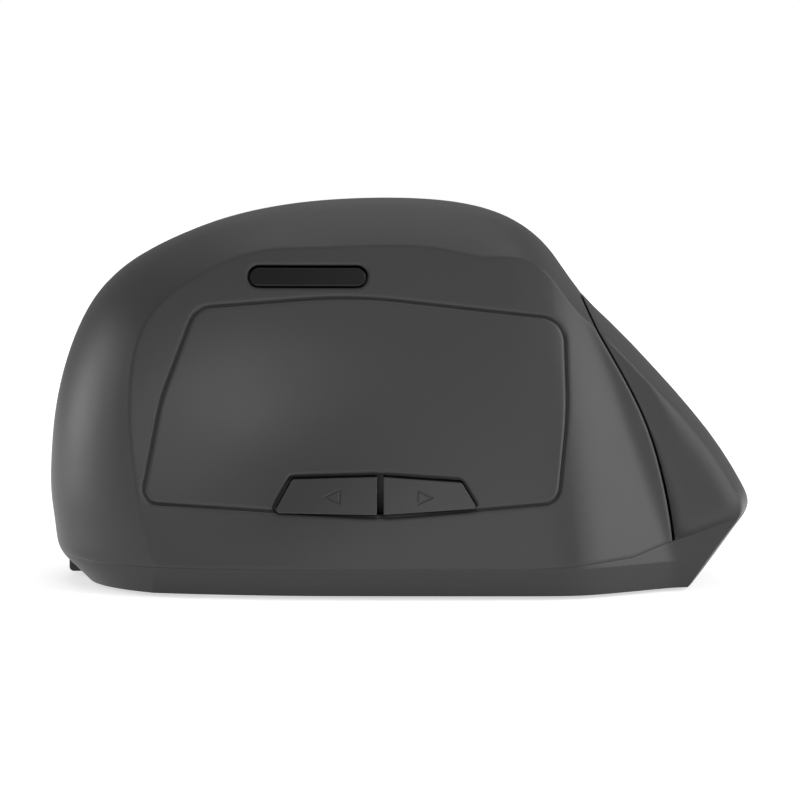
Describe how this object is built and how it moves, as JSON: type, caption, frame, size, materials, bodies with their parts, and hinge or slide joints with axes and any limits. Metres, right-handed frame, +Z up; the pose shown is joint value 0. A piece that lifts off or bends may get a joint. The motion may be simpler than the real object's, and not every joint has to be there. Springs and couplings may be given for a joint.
{
  "type": "ergonomic mouse",
  "caption": "Right-handed vertical computer mouse, wireless, with two main keys, scroll wheel, two thumb buttons and a resolution button.",
  "frame": {"origin": "centre of the footprint's bounding box, on the plane that the feet stand on", "axes": "+Y towards the front of the mouse, +Z up, the thumb side faces -X"},
  "size_m": [0.0687, 0.1201, 0.0666],
  "materials": {
    "shell_grey": "soft_touch",
    "button_black": "satin",
    "ledge_black": "gloss",
    "inner_black": "moulded",
    "natural_white": "moulded",
    "board_green": "solder_mask",
    "switch_black": "moulded",
    "plunger_red": "moulded",
    "steel": "satin",
    "tyre_rubber": "matte",
    "lens_clear": "clear",
    "cell_wrap": "satin",
    "foot_slick": "slick"
  },
  "bodies": {
    "case": {"thumb_shell": "shell_grey", "palm_shell": "shell_grey", "bottom_case": "shell_grey", "finger_ledge": "ledge_black", "inner_frame": "inner_black", "key_pin": "steel", "key_board": "board_green", "side_board": "board_green", "main_board": "board_green", "left_switch": "switch_black", "right_switch": "switch_black", "wheel_switch": "switch_black", "forward_switch": "switch_black", "back_switch": "switch_black", "dpi_switch": "switch_black", "sensor_chip": "switch_black", "sensor_lens": "lens_clear", "battery_cell": "cell_wrap", "battery_spring": "steel", "rear_contact": "steel", "front_contact": "steel", "power_switch": "steel", "receiver": "inner_black", "case_screws": "steel", "board_screws": "steel", "front_foot": "foot_slick", "rear_feet": "foot_slick"},
    "left_key": {"left_key": "shell_grey", "left_plunger": "plunger_red"},
    "right_key": {"right_key": "shell_grey", "right_plunger": "plunger_red"},
    "wheel_carrier": {"wheel_cradle": "natural_white", "encoder": "inner_black", "wheel_plunger": "plunger_red"},
    "wheel": {"wheel_hub": "natural_white", "wheel_tyre": "tyre_rubber"},
    "forward_button": {"forward_button": "button_black", "forward_plunger": "plunger_red"},
    "back_button": {"back_button": "button_black", "back_plunger": "plunger_red"},
    "dpi_button": {"dpi_button": "button_black", "dpi_plunger": "plunger_red"},
    "power_slider": {"power_slider": "natural_white"},
    "battery_door": {"battery_door": "shell_grey"}
  },
  "joints": [
    {"name": "left_key_press", "type": "hinge", "parent": "case", "child": "left_key", "pos_m": [0.00737, -0.003, 0.0377], "axis": [-0.8829, 0, 0.4695], "range_deg": [0, 0.8], "stiffness_Nm_per_rad": 0.5, "springref_deg": -1.15},
    {"name": "right_key_press", "type": "hinge", "parent": "case", "child": "right_key", "pos_m": [0.00737, -0.003, 0.0377], "axis": [-0.8829, 0, 0.4695], "range_deg": [0, 0.8], "stiffness_Nm_per_rad": 0.5, "springref_deg": -1.15},
    {"name": "wheel_click", "type": "hinge", "parent": "case", "child": "wheel_carrier", "pos_m": [0.00004, 0.017, 0.03892], "axis": [-0.5864, 0, 0.81], "range_deg": [0, 1.6], "stiffness_Nm_per_rad": 0.6, "springref_deg": -1.15},
    {"name": "wheel_spin", "type": "hinge", "parent": "wheel_carrier", "child": "wheel", "pos_m": [0.00773, 0.028, 0.04449], "axis": [0.5864, 0, -0.81], "continuous": true},
    {"name": "forward_press", "type": "slide", "parent": "case", "child": "forward_button", "axis": [1, 0, 0], "range_m": [0, 0.0005], "stiffness_N_per_m": 1500, "springref_m": -0.0003},
    {"name": "back_press", "type": "slide", "parent": "case", "child": "back_button", "axis": [1, 0, 0], "range_m": [0, 0.0005], "stiffness_N_per_m": 1500, "springref_m": -0.0003},
    {"name": "dpi_press", "type": "slide", "parent": "case", "child": "dpi_button", "axis": [1, 0, 0], "range_m": [0, 0.0005], "stiffness_N_per_m": 1500, "springref_m": -0.0003},
    {"name": "power_slide", "type": "slide", "parent": "case", "child": "power_slider", "axis": [0, 1, 0], "range_m": [0, 0.004]},
    {"name": "battery_door_slide", "type": "slide", "parent": "case", "child": "battery_door", "axis": [0, -1, 0], "range_m": [0, 0.01]}
  ]
}
